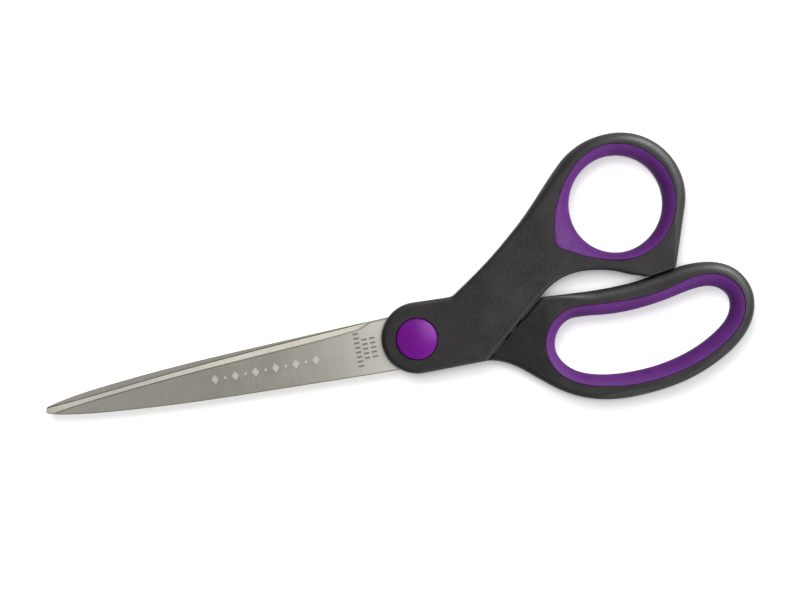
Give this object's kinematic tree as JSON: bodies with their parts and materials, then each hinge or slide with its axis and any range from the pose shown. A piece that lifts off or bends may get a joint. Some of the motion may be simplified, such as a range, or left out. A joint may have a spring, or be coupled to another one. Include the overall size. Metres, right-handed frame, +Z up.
{
  "type": "craft scissors",
  "caption": "Closed straight-edged craft scissors with bent plastic handles, a small thumb loop, a large finger loop, soft loop liners and a capped pivot.",
  "frame": {"origin": "on the pivot axis, on the surface that the closed scissors lie on", "axes": "+X from the pivot towards the handles, +Y towards the thumb loop, +Z up along the pivot axis"},
  "size_m": [0.216, 0.0793, 0.0119],
  "materials": {
    "blade_steel": "fine ground satin stainless steel",
    "handle_plastic": "fine matte moulded black plastic",
    "soft_grip": "soft matte purple elastomer",
    "screw_steel": "zinc plated steel",
    "spring_steel": "spring steel",
    "glide_plastic": "natural nylon sheet",
    "cap_plastic": "satin purple plastic"
  },
  "bodies": {
    "finger_half": {"rear_blade": "blade_steel", "finger_handle": "handle_plastic", "finger_grip": "soft_grip", "rear_pivot_cap": "cap_plastic", "pivot_screw": "screw_steel", "pivot_nut": "screw_steel", "nut_washer": "screw_steel", "spring_washer": "spring_steel", "glide_washer": "glide_plastic"},
    "thumb_half": {"front_blade": "blade_steel", "thumb_handle": "handle_plastic", "thumb_grip": "soft_grip", "front_pivot_cap": "cap_plastic"}
  },
  "joints": [
    {"name": "pivot", "type": "hinge", "parent": "finger_half", "child": "thumb_half", "pos_m": [0, 0, 0.0055], "axis": [0, 0, 1], "range_deg": [0, 100]}
  ]
}
